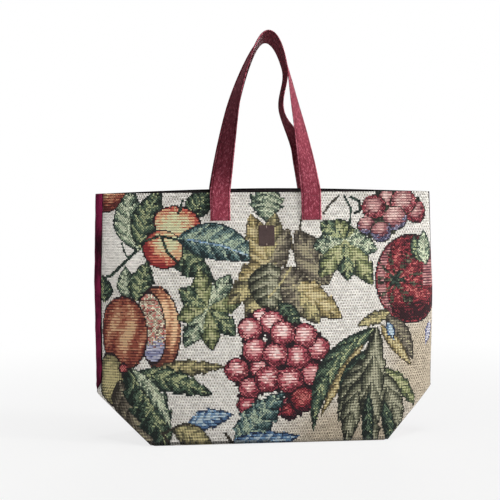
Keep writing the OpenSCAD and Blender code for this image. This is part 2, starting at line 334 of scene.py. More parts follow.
def bell(share):
    """1 at 0, falling to 0 at -1 and 1."""
    return np.where(np.abs(share) < 1, np.cos(np.pi / 2 * share) ** 2, 0)


# Shape of the body: the same surfaces as the solids have


def body_share(bag, z):
    """Height on the body, from 0 at the boxed corners to 1 at the rim."""
    return np.maximum(0, (z - bag.corner_h) / (bag.rim_h - bag.corner_h))


def half_width(bag, z):
    """Half of the width between the side edges at height z."""
    share = body_share(bag, z)
    low = mix(bag.corner_w, bag.widest_w, smooth(share / WIDEST_SHARE))
    high = mix(bag.widest_w, bag.rim_w, ((share - WIDEST_SHARE) / (1 - WIDEST_SHARE)) ** 2)
    return np.where(share < WIDEST_SHARE, low, high) / 2


def half_depth(bag, z):
    """Half of the depth at the middle of the body at height z."""
    return mix(bag.belly_d, bag.rim_d, body_share(bag, z) ** TAPER) / 2


def pulled(bag, x, z):
    """How far the handles pull the cloth out at x and z."""
    reach = (np.abs(x) - bag.strap_x) / bag.pull_w
    return bag.strap_pull * body_share(bag, z) ** 2 * np.exp(-(reach**2))


def face_y(bag, x, z, depth):
    """Front face of the body at x and z, set in by depth."""
    across = x / (half_width(bag, z) - depth)
    bow = np.maximum(0, 1 - across**2) ** (bag.edge_sharpness / 2)
    return -(half_depth(bag, z) - depth) * bow - pulled(bag, x, z)


def section(bag, z, depth, inset, tuck):
    """Half width, half depth of the flat ends and half depth of the middle of the body at height z."""
    share = np.clip(z / bag.corner_h, 0, 1)
    wide = mix(bag.base_l / 2 - inset, half_width(bag, z) - depth - tuck, share)
    flat = (bag.notch - inset) * (1 - share)
    deep = mix(bag.notch - inset, half_depth(bag, z) - depth, share)
    return wide, flat, deep


def front_point(bag, angle, cut):
    """Place in plan on the front of a section, at an angle from its left edge."""
    wide, flat, deep = cut
    return -wide * np.cos(angle), -flat - (deep - flat) * np.abs(np.sin(angle)) ** bag.edge_sharpness


def row_z(bag, row, rim_z, depth):
    """Height of a row of cloth, whose rows cloth_rows gives."""
    if row < 1:
        return mix(rim_z, bag.corner_h, row)
    if row < 2:
        return bag.corner_h * (2 - row) + 0 * rim_z
    return depth + bag.bottom_r * (1 - math.sin(math.pi / 2 * (row - 2))) + 0 * rim_z


def cloth_rows(grid):
    """Rows of cloth: 0 to 1 from the rim to the corners, 1 to 2 down the corners, 2 to 3 round the fold."""
    return np.concatenate([
        np.arange(grid.body) / grid.body,
        1 + np.arange(grid.boxed) / grid.boxed,
        2 + np.arange(grid.fold + 1) / grid.fold,
    ])


def column_runs(bag, grid, start):
    """Places of the columns along the cut width, from start to the far seam."""
    end = bag.notch + bag.base_l
    return np.concatenate([
        np.linspace(start, bag.notch, grid.corner + 1)[:-1],
        np.linspace(bag.notch, end, grid.middle + 1)[:-1],
        np.linspace(end, bag.cut_w - bag.half_gap, grid.corner + 1),
    ])


def wall_row(bag, grid, row, depth, tuck, wrap, rise, drop):
    """Points of one row of a panel, and their runs along the cut width."""
    level = row_z(bag, row, bag.rim_h - drop, depth)
    inset = depth if row < 2 else depth + bag.bottom_r * (1 - math.cos(math.pi / 2 * (row - 2)))
    angles = np.linspace(0, np.pi, ARC_STEPS + 1)
    x, y = front_point(bag, angles, section(bag, level, depth, inset, tuck))
    lengths = np.concatenate([[0], np.cumsum(np.hypot(np.diff(x), np.diff(y)))])
    ends = bag.notch * (1 - min(1, level / bag.corner_h)) / bag.cut_w

    start = wrap * float(smooth((level - bag.corner_h) / (WRAP_FADE * bag.corner_h))) + bag.half_gap
    runs = column_runs(bag, grid, start)
    place = runs / bag.cut_w
    run = np.abs(place)
    z = row_z(bag, row, bag.rim_h - drop + rise * np.sin(np.pi * run), depth)
    cut = section(bag, z, depth, inset, tuck)
    angle = np.interp((run - ends) / (1 - 2 * ends) * lengths[-1], lengths, angles)
    x, y = front_point(bag, angle, cut)
    wide, flat, _ = cut
    left, right = run < ends, run > 1 - ends
    x = np.where(left, -wide, np.where(right, wide, x))
    if ends > 0:
        y = np.where(left, -flat * run / ends, np.where(right, -flat * (1 - run) / ends, y))
    y = np.where(place < 0, -y, y)
    y = y + np.where(y < 0, -1, 1) * pulled(bag, x, z)
    return np.stack([x, y, z], 1), runs


def half_bottom(last, grid):
    """Points between the last row's front edge and the middle seam, without the ends that the wall shares."""
    k, middle = grid.corner, grid.middle
    share = (last[k - 1 :: -1, 1] - last[k, 1])[:k] / (last[0, 1] - last[k, 1])
    across = np.arange(1, middle) / middle
    left, right = last[k - 1 :: -1, 0][:k], last[k + middle + 1 :, 0]
    x = mix(left[:, None], right[:, None], across[None, :])
    y = mix(last[k + 1 : k + middle, 1][None, :], last[0, 1], share[:, None])
    return np.stack([x, y, np.full_like(x, last[k, 2])], 2)


def outward(wall):
    """Unit normals of a wall of points, out of the front."""
    normal = np.cross(np.gradient(wall, axis=0), np.gradient(wall, axis=1))
    return normal / np.linalg.norm(normal, axis=2, keepdims=True)


# A skin of cloth: its points, its cells' corners, their places in the weave and the ids along its four edges
Skin = namedtuple("Skin", "points quads cells border")
CELL_CORNERS = ((0, 0), (1, 0), (1, 1), (0, 1))


def net_cells(net, left, top):
    """Corner ids of the cells of a net of points, and their columns and rows in the weave."""
    j, i = np.mgrid[0 : net.shape[0] - 1, 0 : net.shape[1] - 1]
    quads = np.stack([net[j + dj, i + di] for dj, di in CELL_CORNERS], 2)
    places = np.stack([np.stack([left + i + di, top + j + dj], 2) for dj, di in CELL_CORNERS], 2)
    return quads.reshape(-1, 4), places.reshape(-1, 4, 2)


def panel_skin(bag, grid, depth, relief, slack=0, tuck=0, wrap=0, rise=0, drop=0):
    """One skin of a panel, which hangs free by slack from a little below the rim."""
    rows = cloth_rows(grid)
    depths = depth + slack * np.minimum(1, rows / SLACK_ROW)
    made = [wall_row(bag, grid, row, d, tuck, wrap, rise, drop) for row, d in zip(rows, depths)]
    wall = np.array([points for points, _ in made])
    runs = np.array([run for _, run in made])
    steps = np.linalg.norm(np.diff(wall[:, grid.corner + grid.middle // 2], axis=0), axis=1)
    down = np.concatenate([[0], np.cumsum(steps)])[:, None] + 0 * runs
    wall = wall + outward(wall) * relief(bag, runs, down)[:, :, None]
    bottom = half_bottom(wall[-1], grid)

    k, middle, last = grid.corner, grid.middle, len(rows) - 1
    ids = np.arange(runs.size).reshape(runs.shape)
    base = np.zeros((k + 1, middle + 1), int)
    base[0] = ids[last, k : k + middle + 1]
    base[1:, 0] = ids[last, k - 1 :: -1][:k]
    base[1:, middle] = ids[last, k + middle + 1 :]
    base[1:, 1:middle] = ids.size + np.arange(k * (middle - 1)).reshape(k, middle - 1)
    wall_quads, wall_cells = net_cells(ids, 0, 0)
    base_quads, base_cells = net_cells(base, k, last)
    return Skin(
        np.concatenate([wall.reshape(-1, 3), bottom.reshape(-1, 3)]),
        np.concatenate([wall_quads, base_quads]),
        np.concatenate([wall_cells, base_cells]),
        (ids[0], ids[:, -1], base[k, ::-1], ids[::-1, 0]),
    )


def zipped(outer, inner):
    """Triangles between two rows of ids side by side, each with its places along and across the strip."""
    last_o, last_i = len(outer) - 1, len(inner) - 1
    faces, places = [], []
    o = i = 0
    while o < last_o or i < last_i:
        if i == last_i or (o < last_o and (o + 1) * last_i <= (i + 1) * last_o):
            faces.append((outer[o], outer[o + 1], inner[i]))
            places.append(((o / last_o, 0), ((o + 1) / last_o, 0), (i / last_i, 1)))
            o += 1
        else:
            faces.append((outer[o], inner[i + 1], inner[i]))
            places.append(((o / last_o, 0), ((i + 1) / last_i, 1), (i / last_i, 1)))
            i += 1
    return faces, places


def ring_faces(first, rings, count):
    """Faces between rings of count points that follow each other from the first id."""
    faces = []
    for ring in range(first, first + (rings - 1) * count, count):
        for i in range(count):
            n = (i + 1) % count
            faces.append((ring + i, ring + count + i, ring + count + n, ring + n))
    return faces


def fitted(places, size, upright):
    """Places in the weave moved into a strip of the baked picture."""
    across = mix(*BAKE_SIDES, places[..., 0] / size[0])
    return np.stack([across, mix(upright[1], upright[0], places[..., 1] / size[1])], -1)


def add_object(name, mesh, material):
    """A smooth object of a mesh in one material."""
    made = bpy.data.objects.new(name, mesh)
    bpy.context.scene.collection.objects.link(made)
    mesh.materials.append(material)
    mesh.polygons.foreach_set("use_smooth", np.ones(len(mesh.polygons), bool))
    return made


def set_uv(mesh, name, places):
    """A layer of places, one for each corner of each face."""
    layer = mesh.uv_layers.new(name=name)
    layer.data.foreach_set("uv", np.ascontiguousarray(places, np.float32).ravel())


def cloth_mesh(name, outer, inner, mirrored):
    """A closed panel of two skins, joined round their edge, with its weave and bake places."""
    points = np.concatenate([outer.points, inner.points])
    edge_faces, edge_places = [], []
    for n, (a, b) in enumerate(zip(outer.border, inner.border)):
        faces, places = zipped(a, b + len(outer.points))
        edge_faces += faces
        low = mix(*BAKE_EDGES, n / len(outer.border))
        high = mix(*BAKE_EDGES, (n + STRIP_SHARE) / len(outer.border))
        for corners in places:
            spots = [(mix(*BAKE_SIDES, along), mix(low, high, across)) for along, across in corners]
            edge_places.append(spots)
    outer_quads, outer_cells = outer.quads, outer.cells
    inner_quads, inner_cells = inner.quads[:, ::-1] + len(outer.points), inner.cells[:, ::-1]
    edge_faces, edge_places = np.array(edge_faces), np.array(edge_places)
    if mirrored:
        points = points * (1, -1, 1)
        outer_quads, outer_cells = outer_quads[:, ::-1], outer_cells[:, ::-1]
        inner_quads, inner_cells = inner_quads[:, ::-1], inner_cells[:, ::-1]
        edge_faces, edge_places = edge_faces[:, ::-1], edge_places[:, ::-1]
    mesh = bpy.data.meshes.new(name)
    mesh.from_pydata(points.tolist(), [], outer_quads.tolist() + inner_quads.tolist() + edge_faces.tolist())
    outer_size, inner_size = outer.cells.reshape(-1, 2).max(0), inner.cells.reshape(-1, 2).max(0)
    same_scale = inner_cells * (outer_size / inner_size)
    baked_outside = fitted(outer_cells, outer_size, BAKE_OUTSIDE)
    baked_inside = fitted(inner_cells, inner_size, BAKE_INSIDE)
    for layer, places in (
        (WEAVE_NAME, (outer_cells, same_scale, 0 * edge_places)),
        (BAKE_NAME, (baked_outside, baked_inside, edge_places)),
    ):
        set_uv(mesh, layer, np.concatenate([place.reshape(-1, 2) for place in places]))
    return mesh


def dye(mesh, outside, inside):
    """Gives the outer cells of a panel their own colours, and its inside and edges one colour."""
    threads = np.full((len(mesh.loops), 4), 1.0, np.float32)
    threads[:, :3] = inside
    threads[: 4 * len(outside), :3] = np.repeat(outside, 4, axis=0)
    layer = mesh.color_attributes.new(DYE_NAME, "FLOAT_COLOR", "CORNER")
    layer.data.foreach_set("color", threads.ravel())


def seam_dip(runs):
    """The dip of a panel along both of its side seams."""
    near = np.minimum(runs - runs[:, :1], runs[:, -1:] - runs)
    return -SEAM_DIP * np.exp(-((near / SEAM_REACH) ** 2))


def hanging(bag, runs, down):
    """Slow waves of a soft wall, which die out towards the rim and the bottom fold."""
    fade = smooth((down - WAVE_START) / WAVE_GROW) * smooth((bag.rim_h - WAVE_END - down) / WAVE_DIE)
    along, fall = runs / MM, down / MM
    waves = sum(height * np.sin(along / wide + fall / high + phase) for height, wide, high, phase in WAVES)
    return waves * MM * fade


def woven_relief(bag, runs, down):
    """The woven front hangs in waves, with its seams drawn in."""
    return hanging(bag, runs, down) + seam_dip(runs)


def plush_relief(bag, runs, down):
    """The softer back also puckers along the seam that wraps round the left edge."""
    near = np.exp(-(((runs - runs[:, :1]) / PUCKER_REACH) ** 2))
    puckers = sum(height * np.sin(down / MM / high + phase) for height, high, phase in PUCKERS)
    held = smooth(down / PUCKER_GROW) * smooth((bag.rim_h - down) / PUCKER_DIE)
    return hanging(bag, runs, down) + seam_dip(runs) + puckers * MM * near * held


# Woven picture: a thread colour for each cell of the cloth


class Weaving:
    """The woven front as drafted: a thread for each cell, in millimetres along and down the cloth."""

    def __init__(self, along, down, columns, rows, colours):
        self.along, self.down = along, down
        self.columns, self.rows = columns, rows
        self.random = np.random.default_rng(SEED)
        row, column = np.where(rows % 2 == 0, 1, -1), np.where(columns % 2 == 0, 1, -1)
        stray = np.where(self.random.uniform(size=len(rows)) < 0.15, -1, 1)
        # How far each binding lifts a cell: raised cells are painted lighter and sunk cells darker, as painted
        # shade
        self.bindings = {"ribs": 0.7 * row, "grid": 0.6 * row + 0.4 * column, "specks": row * column * stray}
        self.threads = {
            name: (binding, np.array([linear(*shade) for shade in ramp]))
            for name, (binding, *ramp) in THREADS.items()
        }
        sandy = smooth(1.4 - np.minimum(*(self.off_patch(*patch) for patch in SANDY_PATCHES)))
        ribbed = self.off_patch(*RIBBED_PATCH) < 1
        light = mix(np.array(colours.ground), np.array(colours.sand), sandy[:, None])
        pit = mix(np.array(colours.ground_pit_shade), np.array(colours.sand_pit_shade), sandy[:, None])
        # Dots and ribs of the ground, with the pit colours as painted shade in its hollows
        dotted = np.where((rows % 2 == 0) & ((columns + rows // 2) % 2 == 0), -0.75, 0.8 + 0.15 * row)
        lift = np.where(ribbed, 0.75 + 0.35 * row, dotted) + 0.55 * self.spread()
        self.colour = mix(pit, light, np.clip(0.5 + 0.5 * lift, 0, 1)[:, None])
        self.colour = self.colour * (1 + 0.14 * self.spread())[:, None]

    def spread(self):
        """A chance value from -1 to 1 for each cell, alike in short runs along a row."""
        chance = self.random.uniform(-1, 1, (self.rows.max() + 1, self.columns.max() + 3))
        runs = (chance[:, :-2] + 1.6 * chance[:, 1:-1] + chance[:, 2:]) / 2.4
        return runs[self.rows, self.columns]

    def off_patch(self, middle, radii):
        """Distance from a patch's middle, which is 1 at its edge."""
        return np.hypot((self.along - middle[0]) / radii[0], (self.down - middle[1]) / radii[1])

    def put(self, inside, colours):
        """Gives the cells of an area their colours."""
        self.colour = np.where(inside[:, None], colours, self.colour)

    def fill(self, inside, shade, name, rib=0.9, speckle=0.6):
        """Weaves an area with a ramp of threads, lighter where their binding raises them and painted shade
        where it takes them under.
        """
        binding, ramp = self.threads[name]
        lift = self.bindings[binding]
        # Raised cells take lighter threads and sunk cells take painted shade
        level = shade * (len(ramp) - 1) + 0.5 * rib * lift + speckle * self.spread()
        picked = ramp[np.clip(np.rint(level), 0, len(ramp) - 1).astype(int)]
        tone = (0.9 + 0.32 * lift) * (1 + 0.12 * self.spread())
        self.put(inside, picked * tone[:, None])

    def local(self, place, tilt=0.0):
        """Distances from a place, along and across a direction that is turned by tilt degrees."""
        x, y = self.along - place[0], self.down - place[1]
        turn = math.radians(tilt)
        return x * math.cos(turn) + y * math.sin(turn), y * math.cos(turn) - x * math.sin(turn)

    def blade(self, base, tip, width, bow=0.0, teeth=0, veins=6, blunt=0.85):
        """Distance inside a leaf's edge, and its shading: dark edges, folds between veins, a light midrib."""
        run = math.dist(base, tip)
        x, y = self.local(base, math.degrees(math.atan2(tip[1] - base[1], tip[0] - base[0])))
        t = np.clip(x / run, 0, 1)
        side = y - bow * 4 * t * (1 - t)
        half = width / 2 * np.sin(np.pi * t**0.8) ** blunt
        if teeth:
            half = half * (1 - 0.25 * ((t * teeth) % 1))
        edge = np.where((x > 0) & (x < run), half - np.abs(side) + 0.5 * self.spread(), -1)
        fold = (veins * t - 2.2 * np.abs(side) / width) % 1
        shade = np.where(side < 0, 0.15, -0.15) + 0.85 * (fold - 0.5)
        shade = shade + 0.5 * smooth(edge / (0.32 * width)) - 0.25
        return edge, np.where((np.abs(side) < 1) & (t < 0.9), 0.42, shade)

    def rim(self, edge, name):
        """The dark, broken outline of a leaf."""
        self.fill((edge > 0) & (edge < LEAF_RIM) & (self.spread() > -0.55), 0, name, 0, 0.5)

    def leaf(self, base, tip, width, name, light=0.5, **shape):
        """A leaf from its base to its tip."""
        edge, shade = self.blade(base, tip, width, **shape)
        self.fill(edge > 0, light + shade, name)
        self.rim(edge, name)

    def vine_leaf(self, middle, tips, width, names, light=0.5):
        """A lobed leaf, with lobes from its middle to each tip and threads that change from lobe to lobe."""
        whole, shades = np.full(len(self.along), -1.0), 0 * self.along
        lobe = np.zeros(len(self.along), int)
        for n, tip in enumerate(tips):
            start = [mix(end, centre, LOBE_ROOT) for end, centre in zip(tip, middle)]
            edge, shade = self.blade(start, tip, width, teeth=3, veins=4, blunt=0.6)
            nearer = edge > whole
            whole, shades = np.where(nearer, edge, whole), np.where(nearer, shade, shades)
            lobe = np.where(nearer, n, lobe)
        for n, name in enumerate(names):
            self.fill((whole > 0) & (lobe % len(names) == n), light + shades, name)
        self.rim(whole, names[0])

    def stem(self, path, width, name, light=0.1):
        """A stalk or vein along a path of places."""
        apart = np.full(len(self.along), np.inf)
        for a, b in zip(path, path[1:]):
            x, y = self.along - a[0], self.down - a[1]
            dx, dy = b[0] - a[0], b[1] - a[1]
            t = np.clip((x * dx + y * dy) / (dx * dx + dy * dy), 0, 1)
            apart = np.minimum(apart, np.hypot(x - t * dx, y - t * dy))
        self.fill(apart < width / 2 + 0.3, light, name, 0.2, 0.6)

    def fruit(self, centre, radii, name, tilt=0.0, light=(0, 0), streaks=0):
        """A round fruit, lit at a place inside it, with a dark outline and streaks from end to end."""
        x, y = self.local(centre, tilt)
        x, y = x / radii[0], y / radii[1]
        away = np.hypot(x, y)
        turned = np.arcsin(np.clip(x / np.sqrt(np.maximum(0.02, 1 - y**2)), -1, 1))
        shade = 1.12 - 0.9 * np.hypot(x - light[0], y - light[1]) ** 1.7
        if streaks:
            shade = shade - 0.22 + 0.3 * np.sin(streaks * turned + 2 * np.sin(3 * y)) * np.cos(1.5 * y)
        self.fill(away < 1, shade, name, 1.0, 0.8)
        edge = (away < 1) & (away > 1 - FRUIT_RIM / min(radii)) & (self.spread() > -0.7)
        self.put(edge, OUTLINE)
        return x, y, away

    def bunch(self, berries, lit, name, deep, shadow):
        """Close berries, each pale where it is lit and deep at its edge, with shadow between them."""
        gaps = np.sort([np.hypot(*self.local(centre)) - radius for centre, radius in berries], axis=0)
        self.fill(gaps[1] < BERRY_SHADOW, 0, shadow, 0.3, 0.7)
        heights = [centre[1] for centre, _ in berries]
        for centre, radius in berries:
            dim = 0.3 * (centre[1] - min(heights)) / (max(heights) - min(heights))
            x, y = np.array(self.local(centre)) / radius
            away, glint = np.hypot(x, y), np.hypot(x - lit[0], y - lit[1])
            deeper = glint + 0.2 * self.spread() + 0.6 * dim - 0.6 - 1.05 * math.hypot(*lit)
            self.fill(away < 1, 1.05 - dim - 1.1 * glint**1.5, name, 0.8, 0.8)
            self.fill((away < 1) & (deeper > 0), 0.62 - 0.5 * dim - 0.9 * deeper, deep, 0.9, 1.0)
            edge = (away < 1) & (away > 1 - BERRY_RIM / radius) & (self.spread() > -0.6)
            self.fill(edge, 0, shadow, 0.3, 0.9)

    def seeded(self, centre, radii, tilt=0.0):
        """A fruit cut open: a peach rind round a field of seeds that turns blue towards its foot."""
        x, y, _ = self.fruit(centre, radii, "peach", tilt, (0.55, -0.2), 9)
        flesh = np.hypot((x + 0.34) / 0.68, (y + 0.02) / 0.86)
        self.fill(flesh < 1, 0.5 + 0.6 * self.spread(), "seeds", 0.5, 1.4)
        foot = (flesh < 1) & (y > 0.35 + 0.2 * self.spread())
        self.fill(foot, 0.55 + 0.4 * self.spread(), "lilac", 0.6, 1.0)
        self.put((flesh < 1) & (flesh > 0.92), OUTLINE)

    def pomegranate(self, centre, radii, eye, eye_r):
        """A red fruit, paler along its left side, with streaks that run out from its dark eye."""
        x, y, away = self.fruit(centre, radii, "crimson", light=(-0.1, 0.1))
        ex, ey = self.local(eye)
        reach, turn = np.hypot(ex, ey), np.arctan2(ey, ex)
        far = 3.2 * eye_r
        rays = np.cos(9 * turn + 1.2 * np.sin(3 * turn)) * np.exp(-reach / far)
        inside = away < 0.94
        dim = 0.4 * smooth((y - 0.3) / 0.4) + 0.25 * smooth((away - 0.6) / 0.3)
        self.fill(inside, 0.5 + 0.38 * rays - dim, "crimson", 0.9, 1.2)
        self.fill(inside & (x < -0.55 - 0.16 * np.cos(2.2 * y)), 0.4 - 0.4 * dim, "blossom", 1.4, 0.8)
        self.fill(inside & (x > 0.35) & (np.abs(y + 0.15) < 0.3), 0.3, "blossom", 2.0, 0.8)
        hollows = inside & (rays < -0.16) & (reach < far) & (self.spread() > -0.2)
        self.fill(hollows, 0.25, "slate", 0.5, 1.0)
        self.fill(reach < eye_r * (0.75 + 0.3 * np.cos(5 * turn)), 0.1, "green", 0.6, 1.0)


def drawn_places(bag, skin):
    """Places of the front's cells on the drawing, along and down, with its side edges and bottom laid flat."""
    x, y, z = skin.points[skin.quads].mean(1).T / MM
    rows = skin.cells[..., 1]
    under = rows.min(1) >= rows.max() - WOVEN_GRID.corner
    _, flat, deep = np.array(section(bag, z * MM, 0, 0, 0)) / MM
    turned = np.where(under, 0, np.maximum(0, mix(flat, deep, EDGE_SHARE) - np.abs(y)))
    along = DRAWN_MIDDLE + DRAWN_SCALE * (x + np.sign(x) * turned)
    down = bag.rim_h / MM - z + np.where(under, y + bag.notch / MM, 0)
    return along, down


def weave_picture(cloth):
    """Fruit and leaves on a plain ground, placed in millimetres from the left seam and down from the rim."""
    # Upper left: a cut-off fruit, a pair of stone fruit and the leaves round them
    cloth.fruit((11, -3), (26, 27), "rust", light=(0.1, -0.4))
    cloth.stem([(2, 107), (18, 102), (37, 83), (52, 68)], 3.2, "green", 0.15)
    cloth.stem([(31, 61), (34, 73), (40, 82)], 1.5, "green", 0.2)
    cloth.leaf((52, 72), (45, -9), 38, "sage", 0.5, bow=-9)
    cloth.leaf((52, 68), (78, -7), 36, "green", 0.35, bow=-3)
    cloth.leaf((110, 30), (140, -6), 31, "green", 0.22)
    cloth.leaf((90, 62), (140, 108), 40, "green", 0.25, bow=3.7, teeth=4)
    cloth.fruit((97, 37), (29, 21), "blush", 10, (-0.15, 0.1))
    cloth.fruit((80, 70), (25, 24), "blush", 40, (0.1, -0.45))
    cloth.stem([(50, 63), (76, 53), (107, 60)], 2.7, "green")
    cloth.stem([(79, 56), (85, 73), (98, 88)], 2.7, "green")
    cloth.stem([(102, 20), (98, 26), (104, 10)], 2.0, "green")
    cloth.leaf((97, 56), (196, 84), 46, "teal", 0.45, bow=-8)
    cloth.stem([(110, 58), (150, 66), (180, 78)], 1.4, "blue", 0.8)
    # Left: a cut fruit full of seeds
    cloth.leaf((8, 135), (6, 101), 26, "green", 0.3)
    cloth.leaf((36, 131), (35, 90), 22, "sage", 0.55)
    cloth.leaf((47, 134), (62, 84), 34, "green", 0.45, teeth=4)
    cloth.seeded((74, 167), (26, 53), -4)
    cloth.fruit((32, 174), (29, 47), "rust", 0, (0.05, -0.1), 7)
    # Lower left: long leaves and a small fruit at the edge
    cloth.fruit((14, 231), (18, 34), "olive", 0, (0.1, 0.0))
    cloth.leaf((64, 222), (153, 214), 24, "olive", 0.4, bow=-2.4, teeth=6)
    cloth.leaf((46, 223), (138, 249), 34, "green", 0.42, bow=-3.7, teeth=6)
    cloth.leaf((26, 232), (72, 330), 48, "bark", 0.25, bow=6)
    cloth.leaf((36, 218), (84, 316), 52, "green", 0.35, bow=-4, teeth=5)
    cloth.leaf((41, 217), (88, 292), 22, "sage", 0.62, bow=-6, teeth=4)
    cloth.fruit((31, 217), (6, 7), "crimson")
    # Middle: vine leaves round the label
    left_tips = [(98, 118), (122, 94), (160, 102), (172, 134), (164, 176), (136, 194), (104, 190), (96, 156)]
    cloth.vine_leaf((132, 142), left_tips, 34, ("green", "lime", "sage", "lime"), 0.46)
    cloth.leaf((208, -6), (203, 37), 46, "sage", 0.5, bow=2.4, teeth=4)
    middle_tips = [(184, 27), (214, 26), (230, 46), (156, 138), (168, 108), (178, 162), (216, 160)]
    cloth.vine_leaf((205, 92), middle_tips, 38, ("ochre", "olive", "bark", "olive"), 0.5)
    cloth.leaf((206, 88), (203, 150), 50, "slate", 0.5, veins=5)
    cloth.leaf((276, 116), (238, 46), 46, "bark", 0.5, veins=3)
    low_tips = [(222, 94), (292, 158), (264, 164), (236, 158)]
    cloth.vine_leaf((238, 118), low_tips, 40, ("bark", "ochre", "olive"), 0.5)
    right_tips = [(268, 38), (288, 34), (258, 70), (266, 107), (300, 112), (331, 118), (338, 74)]
    cloth.vine_leaf((298, 60), right_tips, 36, ("green", "lime", "sage", "lime"), 0.48)
    cloth.leaf((216, 138), (242, 168), 24, "green", 0.1)
    cloth.stem([(232, 92), (220, 112), (204, 130)], 1.4, "olive", 0.9)
    cloth.stem([(244, 46), (239, 61), (246, 30), (258, 17)], 1.8, "bark", 0.2)
    cloth.stem([(272, 27), (281, 15), (292, 5)], 2.4, "bark", 0.1)
    cloth.stem([(298, 5), (306, 21), (304, 43), (298, 60)], 1.8, "green", 0.2)
    cloth.stem([(306, 7), (317, 12), (317, 24), (311, 27)], 2.9, "green", 0.1)
    # Upper right: a bunch of pale berries over a round red fruit
    ripe = (((351, 8), 11), ((388, 26), 15), ((372, 13), 17), ((335, 20), 16))
    blue = (((361, 34), 16), ((325, 43), 12), ((343, 51), 14))
    cloth.bunch(ripe, (-0.06, -0.16), "blossom", "cherry", "slate")
    cloth.bunch(blue, (-0.1, -0.38), "blossom", "violet", "slate")
    cloth.pomegranate((380, 111), (46, 57), (361, 112), 11)
    cloth.leaf((393, 90), (384, 56), 18, "green", 0.3)
    cloth.leaf((402, 94), (398, 48), 24, "sage", 0.6)
    # Middle: the bunch of grapes
    grapes = (
        ((222, 266), 12), ((240, 252), 14), ((194, 154), 11), ((176, 261), 12), ((180, 240), 14),
        ((192, 216), 13), ((207, 161), 15), ((165, 218), 15), ((254, 225), 15), ((262, 194), 15),
        ((246, 178), 16), ((181, 168), 15), ((187, 194), 16), ((237, 204), 16), ((211, 200), 16),
        ((220, 174), 16), ((202, 230), 17), ((228, 232), 17),
    )
    cloth.bunch(grapes, (-0.06, -0.12), "grape", "cherry", "shade")
    cloth.bunch((((226, 270), 11), ((243, 256), 16)), (-0.1, -0.2), "crimson", "shade", "shade")
    # Lower edge: leaves and blue petals under the grapes
    cloth.leaf((164, 318), (222, 246), 46, "teal", 0.5, bow=-5, teeth=5)
    cloth.leaf((160, 304), (238, 299), 30, "blue", 0.4, bow=4, teeth=4)
    cloth.leaf((105, 287), (161, 272), 28, "blue", 0.5, bow=-3, teeth=4)
    cloth.leaf((90, 287), (138, 316), 28, "olive", 0.45, bow=-2.4)
    cloth.stem([(77, 293), (82, 301), (90, 314)], 2.8, "bark", 0)
    cloth.stem([(79, 294), (97, 284), (109, 283)], 2.4, "bark", 0)
    cloth.stem([(150, 294), (157, 304), (166, 315)], 2.8, "bark", 0)
    # Lower right: a spray of long leaves
    cloth.leaf((352, 152), (309, 168), 20, "olive", 0.55, teeth=3)
    cloth.leaf((348, 156), (381, 214), 24, "bark", 0.3, bow=-3)
    cloth.leaf((340, 168), (379, 222), 16, "ochre", 0.45)
    cloth.leaf((410, 166), (400, 196), 12, "lilac", 0.6)
    cloth.leaf((349, 164), (356, 188), 11, "blue", 0.6)
    cloth.leaf((338, 170), (254, 296), 28, "green", 0.25, bow=24)
    cloth.leaf((318, 190), (262, 280), 14, "ochre", 0.4, bow=3)
    cloth.leaf((328, 196), (286, 270), 24, "green", 0.1, bow=6)
    cloth.leaf((330, 204), (284, 286), 26, "slate", 0.4, bow=6, veins=5)
    cloth.leaf((322, 226), (292, 316), 28, "slate", 0.42, bow=5, veins=4)
    cloth.leaf((337, 222), (384, 272), 26, "lime", 0.4, bow=-4, teeth=4)
    cloth.leaf((334, 222), (360, 306), 30, "slate", 0.45, bow=-5, veins=4)
    cloth.leaf((342, 262), (350, 330), 16, "green", 0.1)
    cloth.leaf((335, 170), (322, 332), 36, "slate", 0.52, bow=2, teeth=4, veins=5)
    cloth.leaf((323, 252), (316, 332), 15, "green", 0.0)


# Handles: webbing with a bead along each edge, swept along the same line as its solid


def webbing_section(bag):
    """Closed outline of the webbing: places across it and out of its face."""
    across = bag.strap_w / 2 * np.sin(np.linspace(-np.pi / 2, np.pi / 2, STRAP_POINTS + 1))
    edge = np.abs(across) / (bag.strap_w / 2)
    off_groove = (np.abs(across) - bag.strap_w / 2 + GROOVE_INSET) / GROOVE_REACH
    groove = GROOVE_DEPTH * np.exp(-(off_groove**2))
    out = bag.strap_t / 2 * np.sqrt(np.maximum(0, 1 - edge**EDGE_POWER)) - groove
    return np.concatenate([across, across[-2:0:-1]]), np.concatenate([out, -out[-2:0:-1]])


def loop_points(bag, angle, rim_z, top, foot_y, top_y, bend):
    """Middle line of a handle's loop, by an angle from its left foot to its right one."""
    rise = top * np.cos(angle) ** 2
    height = BEND_HEIGHT * bag.loop_h
    pushed = np.where(angle > 0, bend * bell((rise - height) / (BEND_REACH * bag.loop_h)), 0)
    leaning = bag.top_lean * bell((top - rise) / (LEAN_REACH * bag.loop_h))
    y = mix(foot_y, top_y, smooth(rise / top))
    return np.stack([bag.strap_x * np.sin(angle) - pushed + leaning, y, rim_z + rise], 1)


def unit(vectors):
    return vectors / np.linalg.norm(vectors, axis=-1, keepdims=True)


